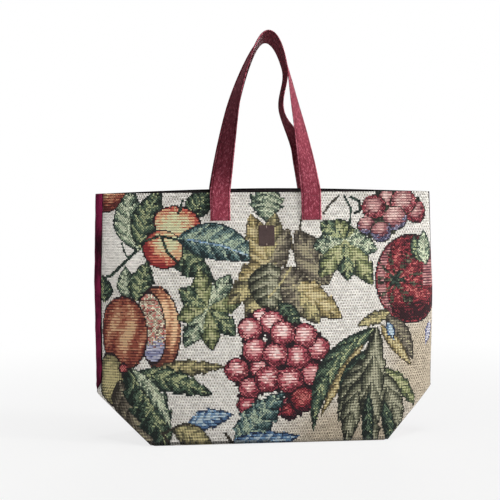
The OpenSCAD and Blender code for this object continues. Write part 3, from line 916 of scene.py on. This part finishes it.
def handle_rows(bag, rise, turn, bend):
    """Rings of webbing from the left end over the top to the right end."""
    across, out = webbing_section(bag)
    rim_z = bag.rim_h + rise
    middle = -bag.sewn_gap - bag.strap_t / 2
    foot_y = float(face_y(bag, bag.strap_x, rim_z, middle))
    top_y = -bag.strap_w / 2 * math.cos(bag.top_tilt) - bag.sewn_gap
    top = bag.loop_h - rise - (bag.strap_w * math.sin(bag.top_tilt) if turn < math.pi / 2 else 0)

    def sewn(side, z):
        x = side * (across - bag.strap_x)
        return np.stack([x, face_y(bag, x, z, middle - out), np.full_like(x, z)], 1)

    heights = np.linspace(bag.sewn_z, rim_z, SEWN_ROWS + 1)
    angle = np.linspace(-np.pi / 2, np.pi / 2, LOOP_ROWS + 1)[1:-1]
    line = (rim_z, top, foot_y, top_y, bend)
    step = math.radians(1)
    place = loop_points(bag, angle, *line)
    along = unit(loop_points(bag, angle + step, *line) - loop_points(bag, angle - step, *line))
    inward = unit(np.stack([along[:, 2], 0 * angle, -along[:, 0]], 1))
    height = top * np.cos(angle) ** 2
    twist = turn * (height / top) ** TWIST_POWER
    if bend:
        low, high = BEND_TWIST[0] * bag.loop_h, BEND_TWIST[1] * bag.loop_h
        twist = np.where(angle > 0, turn * smooth((height - low) / (high - low)), twist)
    lean = np.cos(twist)[:, None] * inward - np.sin(twist)[:, None] * (0, 1, 0)
    side = unit(lean - along * np.sum(lean * along, 1, keepdims=True))
    face = -np.cross(along, side)
    loop = place[:, None] + side[:, None] * across[None, :, None] + face[:, None] * out[None, :, None]
    return np.concatenate([
        [sewn(1, z) for z in heights],
        loop,
        [sewn(-1, z) for z in heights[::-1]],
    ])


def handle_mesh(name, bag, rise, turn, bend, mirrored):
    """Closed webbing with flat ends, and its weave places in millimetres across and along."""
    rings = handle_rows(bag, rise, turn, bend)
    across, _ = webbing_section(bag)
    rows, ring = rings.shape[:2]
    middles = rings.mean(1)
    run = np.concatenate([[0], np.cumsum(np.linalg.norm(np.diff(middles, axis=0), axis=1))])
    faces = ring_faces(0, rows, ring)
    for end, order in ((0, 1), ((rows - 1) * ring, -1)):
        for i in range(STRAP_POINTS):
            corners = dict.fromkeys((i, i + 1, (-i - 1) % ring, (-i) % ring))
            faces.append(tuple(end + corner for corner in corners)[::order])
    points = rings.reshape(-1, 3)
    if mirrored:
        points = points * (1, -1, 1)
        faces = [face[::-1] for face in faces]
    places = [(across[corner % ring], run[corner // ring]) for face in faces for corner in face]
    mesh = bpy.data.meshes.new(name)
    mesh.from_pydata(points.tolist(), [], faces)
    set_uv(mesh, WEAVE_NAME, np.array(places) / MM)
    return mesh, float(run[-1])


# Label and stitches


def rounded_outline(half_w, half_h, radius, steps=8):
    """Outline of a rounded rectangle, from its upper right corner round."""
    turns = np.linspace(0, np.pi / 2, steps)
    made = []
    for n, (sx, sz) in enumerate(((1, 1), (-1, 1), (-1, -1), (1, -1))):
        angle = turns + n * np.pi / 2
        made.append(np.stack([
            sx * (half_w - radius) + radius * np.cos(angle), sz * (half_h - radius) + radius * np.sin(angle)
        ], 1))
    return np.concatenate(made)


def label_mesh(name, bag):
    """A leather label that lies on the front, with rounded corners and edges."""
    middle = (LABEL_LOW + LABEL_HIGH) / 2
    half = (LABEL_HIGH - LABEL_LOW) / 2
    outline = rounded_outline(half.x, half.z, bag.label_r)
    rings = []
    for share, height in LABEL_RINGS:
        x = middle.x + share * outline[:, 0]
        z = middle.z + share * outline[:, 1]
        y = face_y(bag, x, z, -bag.sewn_gap - height * bag.label_t)
        rings.append(np.stack([x, y, z], 1))
    count = len(outline)
    points = [rings[0][0], *np.concatenate(rings[1:-1]), rings[-1][0]]
    last = len(points) - 1
    faces = ring_faces(1, len(rings) - 2, count)
    for i in range(count):
        n = (i + 1) % count
        faces.append((0, 1 + i, 1 + n))
        faces.append((last, last - count + n, last - count + i))
    mesh = bpy.data.meshes.new(name)
    mesh.from_pydata([tuple(p) for p in points], [], faces)
    return mesh


def stitch_mesh(name, stitches, radius):
    """Short threads that dip into the cloth at both ends, each given by its start, its end and a normal."""
    points, faces = [], []
    for start, end, normal in stitches:
        start, end, normal = Vector(start), Vector(end), Vector(normal).normalized()
        along = (end - start).normalized()
        side = along.cross(normal).normalized()
        first = len(points)
        for r in range(STITCH_RINGS):
            t = r / (STITCH_RINGS - 1)
            middle = start.lerp(end, t) + normal * radius * (1.3 * math.sin(math.pi * t) - 0.5)
            wide = radius * (0.55 + 0.45 * math.sin(math.pi * t))
            for s in range(STITCH_SIDES):
                turn = 2 * math.pi * s / STITCH_SIDES
                points.append(middle + side * wide * math.cos(turn) + normal * wide * math.sin(turn))
        faces += ring_faces(first, STITCH_RINGS, STITCH_SIDES)
        faces.append(tuple(first + s for s in range(STITCH_SIDES)))
        faces.append(tuple(len(points) - 1 - s for s in range(STITCH_SIDES)))
    mesh = bpy.data.meshes.new(name)
    mesh.from_pydata([tuple(p) for p in points], [], faces)
    return mesh


def box_stitches(bag, side, back):
    """A box of stitches that sews one handle end to its panel."""
    rim_z = bag.rim_h + (bag.back_rise if back else 0)
    left = side * bag.strap_x - bag.strap_w / 2 + BOX_MARGIN
    right = side * bag.strap_x + bag.strap_w / 2 - BOX_MARGIN
    low, high = bag.sewn_z + BOX_MARGIN, rim_z - 2 * BOX_MARGIN
    corners = [(left, low), (right, low), (right, high), (left, high), (left, low)]
    made = []

    def on_webbing(x, z):
        y = float(face_y(bag, x, z, -bag.sewn_gap - bag.strap_t))
        return (x, -y if back else y, z)

    for (x0, z0), (x1, z1) in zip(corners, corners[1:]):
        count = max(1, round(math.hypot(x1 - x0, z1 - z0) / (bag.stitch_l * STITCH_PITCH)))
        for n in range(count):
            shares = [(n + span) / count for span in STITCH_SPAN]
            ends = [on_webbing(mix(x0, x1, share), mix(z0, z1, share)) for share in shares]
            made.append((*ends, (0, 1 if back else -1, 0)))
    return made


# Materials


class Wire:
    """A shader socket that takes Python's operators, each of which adds a Math node."""

    def __init__(self, tree, socket=None):
        self.tree = tree
        self.socket = socket

    def node(self, kind, settings=None, inputs=None, output=0):
        """Any node: its type, its settings, which are set first, and the values or links of its sockets."""
        made = self.tree.nodes.new(kind)
        for key, value in (settings or {}).items():
            setattr(made, key, value)
        for key, value in (inputs or {}).items():
            if isinstance(value, Wire):
                self.tree.links.new(value.socket, made.inputs[key])
            else:
                made.inputs[key].default_value = value
        return Wire(self.tree, made.outputs[output] if made.outputs else None)

    def math(self, operation, *values):
        return self.node("ShaderNodeMath", {"operation": operation}, dict(enumerate(values)))

    def __add__(self, other):
        return self.math("ADD", self, other)

    __radd__ = __add__

    def __mul__(self, other):
        return self.math("MULTIPLY", self, other)

    __rmul__ = __mul__

    def __sub__(self, other):
        return self.math("SUBTRACT", self, other)

    def __rsub__(self, other):
        return self.math("SUBTRACT", other, self)

    def __abs__(self):
        return self.math("ABSOLUTE", self)

    def sin(self):
        return self.math("SINE", self)

    def floor(self):
        return self.math("FLOOR", self)

    def step(self, low, high):
        """0 below low and 1 above high, smooth between them."""
        settings = {"interpolation_type": "SMOOTHSTEP"}
        return self.node("ShaderNodeMapRange", settings, {0: self, 1: low, 2: high})

    def between(self, a, b):
        """The colour at this share between two colours."""
        return self.node("ShaderNodeMix", {"data_type": "RGBA"}, {0: self, 6: a, 7: b}, 2)

    def shading(self, rgb):
        """A colour, made lighter or darker by this tone."""
        settings = {"data_type": "RGBA", "blend_type": "MULTIPLY"}
        return self.node("ShaderNodeMix", settings, {0: 1.0, 6: rgb, 7: self}, 2)

    def parts(self):
        """The three parts of a vector."""
        made = self.node("ShaderNodeSeparateXYZ", None, {0: self}).socket.node
        return [Wire(self.tree, output) for output in made.outputs]

    def noise(self, vector, scale, detail=2.0, roughness=0.5):
        inputs = {"Vector": vector, "Scale": scale, "Detail": detail, "Roughness": roughness}
        return self.node("ShaderNodeTexNoise", None, inputs, "Fac")

    def bump(self, height, distance, strength=1.0):
        inputs = {"Height": height, "Distance": distance, "Strength": strength}
        return self.node("ShaderNodeBump", None, inputs, "Normal")


def opaque(rgb):
    return (*rgb, 1.0)


def new_material(name):
    """An empty material and the wire that starts its nodes."""
    material = bpy.data.materials.new(name)
    material.use_nodes = True
    material.node_tree.nodes.clear()
    return material, Wire(material.node_tree)


def surface(start, **inputs):
    """Ends a material in a Principled shader, with underscores in the names of its sockets for spaces."""
    sockets = {key.replace("_", " "): value for key, value in inputs.items()}
    shader = start.node("ShaderNodeBsdfPrincipled", None, sockets, "BSDF")
    start.node("ShaderNodeOutputMaterial", None, {"Surface": shader})


def weave_places(start):
    """Place in the weave, and its parts across and along the cloth."""
    place = start.node("ShaderNodeUVMap", {"uv_map": WEAVE_NAME})
    across, along, _ = place.parts()
    return place, across, along


def tapestry_material():
    """Ribbed weave: each cell a raised thread in its own colour, with fibres along it and painted shade
    between its rows.
    """
    material, start = new_material("tapestry")
    place, across, along = weave_places(start)
    thread = start.node("ShaderNodeVertexColor", {"layer_name": DYE_NAME})
    stretched = start.node("ShaderNodeMapping", None, {"Vector": place, "Scale": (1.2, 7.0, 1.0)})
    fibres = start.noise(stretched, 2.6, 3.0)
    floats = (across * math.pi).sin() * (along * math.pi).sin()
    ribs = abs((along * math.pi).sin())
    height = 0.5 * floats + 0.35 * ribs + 0.3 * fibres
    # Painted shade where the ribs dip between rows, with fibres of random tone
    tone = 0.78 + 0.2 * ribs + 0.14 * fibres
    surface(
        start,
        Base_Color=tone.shading(thread),
        Roughness=0.92 - 0.1 * fibres,
        Specular_IOR_Level=0.15,
        Sheen_Weight=0.12,
        Sheen_Roughness=0.6,
        Normal=start.bump(height, 0.5 * MM, 0.7),
    )
    return material


def plush_material(colours):
    """Short crushed pile: painted highlight and painted shade in patches, where the pile would lean towards
    the light and away from it, with a soft sheen.
    """
    material, start = new_material("velvet")
    place = start.node("ShaderNodeNewGeometry", None, None, "Position")
    fallen = start.node("ShaderNodeMapping", None, {"Vector": place, "Scale": (1.0, 1.0, 0.5)})
    patches = start.noise(fallen, 52.0, 5.0, 0.62)
    pile = start.noise(place, 2600.0, 2.0)
    # Painted highlight where the pile leans towards the light and painted shade where it leans away
    lean = (patches + 0.35 * pile).step(0.5, 0.92)
    side = start.node("ShaderNodeVertexColor", {"layer_name": DYE_NAME})
    surface(
        start,
        Base_Color=side.shading(lean.between(opaque(colours.velvet_painted_shade), opaque(colours.velvet))),
        Roughness=0.85 - 0.2 * lean,
        Specular_IOR_Level=0.1,
        Sheen_Weight=0.35,
        Sheen_Roughness=0.32,
        Sheen_Tint=opaque(colours.velvet_sheen),
        Normal=start.bump(0.4 * patches + 0.6 * pile, 0.5 * MM, 0.6),
    )
    return material


def lining_material(colours):
    """Thin plain-woven cloth, with painted shade where its threads dip."""
    material, start = new_material("lining")
    place, across, along = weave_places(start)
    turns = LINING_THREADS * math.pi
    threads = (across * turns).sin() * (along * turns).sin()
    slubs = start.noise(place, 3.0, 3.0)
    # Painted shade where the threads dip, with slubs of random tone
    tone = 0.8 + 0.12 * threads + 0.3 * slubs
    surface(
        start,
        Base_Color=tone.shading(opaque(colours.lining)),
        Roughness=0.9 - 0.15 * slubs,
        Specular_IOR_Level=0.1,
        Sheen_Weight=0.1,
        Normal=start.bump(threads + slubs, 0.15 * MM, 0.5),
    )
    return material


def webbing_material(colours, edge):
    """Herringbone webbing: slanted threads that turn at each chevron, and a plain bead along each edge, with
    painted shade in its hollows and grooves and painted highlight on its raised threads and beads.
    """
    material, start = new_material("webbing")
    place, across, along = weave_places(start)
    fold = across.math("PINGPONG", across, CHEVRON_W)
    turns = 2 * math.pi / TWILL_PITCH
    twill = 0.5 + 0.5 * ((along + fold) * turns).sin()
    columns, rows = (across * (1 / THREAD_W)).floor(), ((along + fold) * (1 / TWILL_PITCH)).floor()
    cells = start.node("ShaderNodeCombineXYZ", None, {0: columns, 1: rows})
    flecks = start.node("ShaderNodeTexWhiteNoise", {"noise_dimensions": "2D"}, {"Vector": cells})
    worn = start.noise(place, 0.12, 3.0)
    bead = abs(across).step(*(edge - inset for inset in BEAD_EDGE))
    groove = abs(across).step(*(edge - inset for inset in GROOVE_EDGE)) - bead
    raised = twill * (1 - bead) + bead * (0.5 + 0.5 * (along * turns).sin())
    # Painted shade in the twill's hollows and the grooves, painted highlight on the raised threads and beads,
    # mixed with random flecks and wear
    lit = (0.4 * raised + 0.48 * flecks + 0.5 * worn + 0.2 * bead - 0.7 * groove).step(0.15, 0.85)
    shade = lit.between(opaque(colours.webbing_dark), opaque(colours.webbing))
    # Light flecks, with painted highlight on raised threads and beads and painted shade in the grooves
    flecks_and_painted_highlight = (0.8 * flecks + 0.2 * raised + 0.25 * bead - groove).step(0.68, 1.04)
    surface(
        start,
        Base_Color=flecks_and_painted_highlight.between(shade, opaque(colours.webbing_light)),
        Roughness=0.85 - 0.15 * flecks,
        Specular_IOR_Level=0.15,
        Sheen_Weight=0.25,
        Sheen_Roughness=0.45,
        Sheen_Tint=opaque(colours.webbing_sheen),
        Normal=start.bump(raised + 0.5 * flecks, 0.3 * MM, 0.7),
    )
    return material


def leather_material(colours):
    """Brown leather with a pebbled grain."""
    material, start = new_material("leather")
    place = start.node("ShaderNodeNewGeometry", None, None, "Position")
    settings = {"feature": "DISTANCE_TO_EDGE"}
    pebbles = start.node("ShaderNodeTexVoronoi", settings, {"Vector": place, "Scale": 1100.0})
    grain = pebbles.step(0.0, 0.22)
    patches = start.noise(place, 160.0, 3.0)
    tone = (0.55 * grain + 0.7 * patches - 0.1).step(0.05, 1.0)
    surface(
        start,
        Base_Color=tone.between(opaque(colours.leather_dark), opaque(colours.leather)),
        Roughness=0.7 - 0.2 * grain,
        Specular_IOR_Level=0.35,
        Normal=start.bump(grain + 0.4 * patches, 0.2 * MM, 0.5),
    )
    return material


def thread_material(name, rgb):
    """Twisted sewing thread."""
    material, start = new_material(name)
    place = start.node("ShaderNodeNewGeometry", None, None, "Position")
    plies = start.noise(place, 2400.0, 2.0)
    surface(
        start,
        Base_Color=(0.7 + 0.6 * plies).shading(opaque(rgb)),
        Roughness=0.8 - 0.2 * plies,
        Sheen_Weight=0.2,
        Normal=start.bump(plies, 0.1 * MM, 0.5),
    )
    return material


def keep(piece, slot, *nodes):
    """Hangs a piece on the bag and hides the solids that it stands for; its slot is not used."""
    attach(piece, BODY)
    if nodes:
        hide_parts(*nodes)


# Operators: one for each piece or group of like pieces


class TOTE_OT_front(bpy.types.Operator):
    """Makes the woven front panel with its picture of fruit and leaves"""

    bl_idname = "tote.front"
    bl_label = "Woven front"

    def execute(self, context):
        bag, colours = context.scene.tote_sizes, context.scene.tote_colours
        outer = panel_skin(bag, WOVEN_GRID, 0, woven_relief, wrap=bag.seam_wrap)
        inner = panel_skin(bag, INSIDE_GRID, bag.panel_t, woven_relief, wrap=bag.seam_wrap)
        mesh = cloth_mesh("front_panel_cloth", outer, inner, False)
        columns, rows = outer.cells.min(1).T
        cloth = Weaving(*drawn_places(bag, outer), columns, rows, colours)
        weave_picture(cloth)
        dye(mesh, np.clip(cloth.colour, 0, 1), colours.reverse)
        piece = add_object("front_panel_cloth", mesh, tapestry_material())
        keep(piece, "tapestry", "front_panel")
        return {"FINISHED"}


class TOTE_OT_back(bpy.types.Operator):
    """Makes the plush back panel, which wraps round the left edge"""

    bl_idname = "tote.back"
    bl_label = "Plush back"

    def execute(self, context):
        bag, colours = context.scene.tote_sizes, context.scene.tote_colours
        shape = {"wrap": -bag.seam_wrap, "rise": bag.back_rise}
        outer = panel_skin(bag, PLUSH_GRID, 0, plush_relief, **shape)
        inner = panel_skin(bag, INSIDE_GRID, bag.panel_t, woven_relief, **shape)
        mesh = cloth_mesh("back_panel_cloth", outer, inner, True)
        dye(mesh, np.ones((len(outer.quads), 3)), colours.lining)
        piece = add_object("back_panel_cloth", mesh, plush_material(colours))
        keep(piece, "velvet", "back_panel")
        return {"FINISHED"}


class TOTE_OT_lining(bpy.types.Operator):
    """Makes the two panels of the thin dark lining"""

    bl_idname = "tote.lining"
    bl_label = "Lining"

    def execute(self, context):
        bag, colours = context.scene.tote_sizes, context.scene.tote_colours
        material = lining_material(colours)
        depth = bag.panel_t + bag.sewn_gap
        hang = {"slack": bag.lining_slack, "tuck": bag.lining_tuck, "drop": bag.lining_drop}
        for node, rise, mirrored in (("lining_front", 0, False), ("lining_back", bag.back_rise, True)):
            shape = {**hang, "rise": rise}
            outer = panel_skin(bag, LINING_GRID, depth, hanging, **shape)
            inner = panel_skin(bag, LINING_GRID, depth + bag.lining_t, hanging, **shape)
            mesh = cloth_mesh(f"{node}_cloth", outer, inner, mirrored)
            piece = add_object(f"{node}_cloth", mesh, material)
            keep(piece, "lining", node)
        return {"FINISHED"}


class TOTE_OT_handles(bpy.types.Operator):
    """Makes the two webbing handles"""

    bl_idname = "tote.handles"
    bl_label = "Handles"

    def execute(self, context):
        bag, colours = context.scene.tote_sizes, context.scene.tote_colours
        material = webbing_material(colours, bag.strap_w / 2 / MM)
        quarter = math.pi / 2
        for node, rise, turn, bend, panel in (
            ("front_handle", 0, quarter + bag.top_tilt, 0, "front_panel_cloth"),
            ("back_handle", bag.back_rise, quarter - bag.top_tilt, bag.bend_in, "back_panel_cloth"),
        ):
            mesh, run = handle_mesh(f"{node}_webbing", bag, rise, turn, bend, node == "back_handle")
            piece = add_object(f"{node}_webbing", mesh, material)
            keep(piece, "webbing", node)
        return {"FINISHED"}


class TOTE_OT_label(bpy.types.Operator):
    """Makes the bare leather label and its two stitches"""

    bl_idname = "tote.label"
    bl_label = "Label"

    def execute(self, context):
        bag, colours = context.scene.tote_sizes, context.scene.tote_colours
        piece = add_object("label_leather", label_mesh("label_leather", bag), leather_material(colours))
        keep(piece, "leather", "label")
        x, face = (LABEL_LOW.x + LABEL_HIGH.x) / 2, -bag.sewn_gap - bag.label_t
        made = []
        for middle in (LABEL_LOW.z + LABEL_STITCH_MARGIN, LABEL_HIGH.z - LABEL_STITCH_MARGIN):
            heights = (middle - LABEL_STITCH_HALF, middle + LABEL_STITCH_HALF)
            ends = [(x, float(face_y(bag, x, z, face)), z) for z in heights]
            made.append((*ends, (0, -1, 0)))
        mesh = stitch_mesh("label_stitches", made, LABEL_THREAD * bag.thread_r)
        stitches = add_object("label_stitches", mesh, thread_material("label_thread", colours.label_thread))
        keep(stitches, "leather")
        return {"FINISHED"}


class TOTE_OT_stitching(bpy.types.Operator):
    """Makes the box stitches that sew the handles to the panels"""

    bl_idname = "tote.stitching"
    bl_label = "Stitching"

    def execute(self, context):
        bag, colours = context.scene.tote_sizes, context.scene.tote_colours
        material = thread_material("handle_thread", colours.thread)
        for name, back in (("front_handle_stitches", False), ("back_handle_stitches", True)):
            made = box_stitches(bag, -1, back) + box_stitches(bag, 1, back)
            piece = add_object(name, stitch_mesh(name, made, bag.thread_r), material)
            keep(piece, "webbing")
        return {"FINISHED"}


class TOTE_OT_stage(bpy.types.Operator):
    """Makes the floor, the light, the background and the camera"""

    bl_idname = "tote.stage"
    bl_label = "Stage"

    def execute(self, context):
        scene = context.scene
        scene.view_settings.view_transform = "Standard"
        self.make_floor(scene)
        self.make_world(scene)
        for light in LIGHTS:
            self.make_light(scene, *light)
        self.make_camera(scene)
        return {"FINISHED"}

    def make_light(self, scene, name, place, aim, size, watts, spread):
        """One area light that faces the middle of the bag at a height."""
        data = bpy.data.lights.new(name, "AREA")
        data.shape = "RECTANGLE"
        data.energy, data.size, data.size_y, data.spread = watts, *size, math.radians(spread)
        lamp = bpy.data.objects.new(name, data)
        lamp.location = place
        lamp.rotation_euler = (Vector((0, 0, aim)) - lamp.location).to_track_quat("-Z", "Y").to_euler()
        scene.collection.objects.link(lamp)

    def make_floor(self, scene):
        """A pale floor, nearly white to the camera, that takes the bag's soft shadow."""
        corners = [(x * FLOOR_HALF, y * FLOOR_HALF, 0) for x, y in ((-1, -1), (1, -1), (1, 1), (-1, 1))]
        mesh = bpy.data.meshes.new("floor")
        mesh.from_pydata(corners, [], [(0, 1, 2, 3)])
        material, start = new_material("floor")
        paint = start.node("ShaderNodeBsdfDiffuse", None, {"Color": opaque(scene.tote_colours.floor)})
        glow = start.node("ShaderNodeEmission", None, {"Strength": 1.0})
        seen = start.node("ShaderNodeLightPath", None, None, "Is Camera Ray")
        place = start.node("ShaderNodeNewGeometry", None, None, "Position")
        away = start.node("ShaderNodeVectorMath", {"operation": "LENGTH"}, {0: place}, "Value")
        share = seen * (FLOOR_GLOW + (1 - FLOOR_GLOW) * away.step(*FLOOR_FADE))
        shown = start.node("ShaderNodeMixShader", None, {0: share, 1: paint, 2: glow})
        start.node("ShaderNodeOutputMaterial", None, {"Surface": shown})
        add_object("floor", mesh, material)

    def make_world(self, scene):
        """A background that is white to the camera and gives a faint light all round."""
        world = bpy.data.worlds.new("studio")
        world.use_nodes = True
        world.node_tree.nodes.clear()
        start = Wire(world.node_tree)
        seen = start.node("ShaderNodeLightPath", None, None, "Is Camera Ray")
        light = start.node("ShaderNodeBackground", None, {"Color": WHITE, "Strength": AMBIENT})
        white = start.node("ShaderNodeBackground", None, {"Color": WHITE, "Strength": 1.0})
        shown = start.node("ShaderNodeMixShader", None, {0: seen, 1: light, 2: white})
        start.node("ShaderNodeOutputWorld", None, {"Surface": shown})
        scene.world = world

    def make_camera(self, scene):
        """The camera at the photograph's viewing angle."""
        data = bpy.data.cameras.new("camera")
        data.sensor_width = SENSOR
        data.lens = FOCAL_SHARE * SENSOR
        camera = bpy.data.objects.new("camera", data)
        away = CAMERA_DISTANCE * Vector((math.sin(CAMERA_TURN), -math.cos(CAMERA_TURN), 0))
        camera.location = away + Vector((0, 0, CAMERA_HEIGHT))
        facing = (CAMERA_AIM - camera.location).to_track_quat("-Z", "Y").to_matrix()
        camera.rotation_euler = (facing @ Matrix.Rotation(CAMERA_ROLL, 3, "Z")).to_euler()
        scene.collection.objects.link(camera)
        scene.camera = camera


PIECES = (
    TOTE_OT_stage,
    TOTE_OT_front,
    TOTE_OT_back,
    TOTE_OT_lining,
    TOTE_OT_handles,
    TOTE_OT_label,
    TOTE_OT_stitching,
)


class TOTE_PT_panel(bpy.types.Panel):
    """Buttons for the bag's pieces"""

    bl_idname = "TOTE_PT_panel"
    bl_label = "Tote Bag"
    bl_space_type = "VIEW_3D"
    bl_region_type = "UI"
    bl_category = "Tote Bag"

    def draw(self, context):
        for piece in PIECES:
            self.layout.operator(piece.bl_idname)


CLASSES = (ToteSizes, ToteColours, *PIECES, TOTE_PT_panel)


def register():
    for cls in CLASSES:
        bpy.utils.register_class(cls)
    bpy.types.Scene.tote_sizes = bpy.props.PointerProperty(type=ToteSizes)
    bpy.types.Scene.tote_colours = bpy.props.PointerProperty(type=ToteColours)


def unregister():
    del bpy.types.Scene.tote_colours
    del bpy.types.Scene.tote_sizes
    for cls in reversed(CLASSES):
        bpy.utils.unregister_class(cls)


def main():
    register()
    bpy.ops.tote.stage()
    bpy.ops.tote.front()
    bpy.ops.tote.back()
    bpy.ops.tote.lining()
    bpy.ops.tote.handles()
    bpy.ops.tote.label()
    bpy.ops.tote.stitching()


if __name__ == "__main__":
    main()
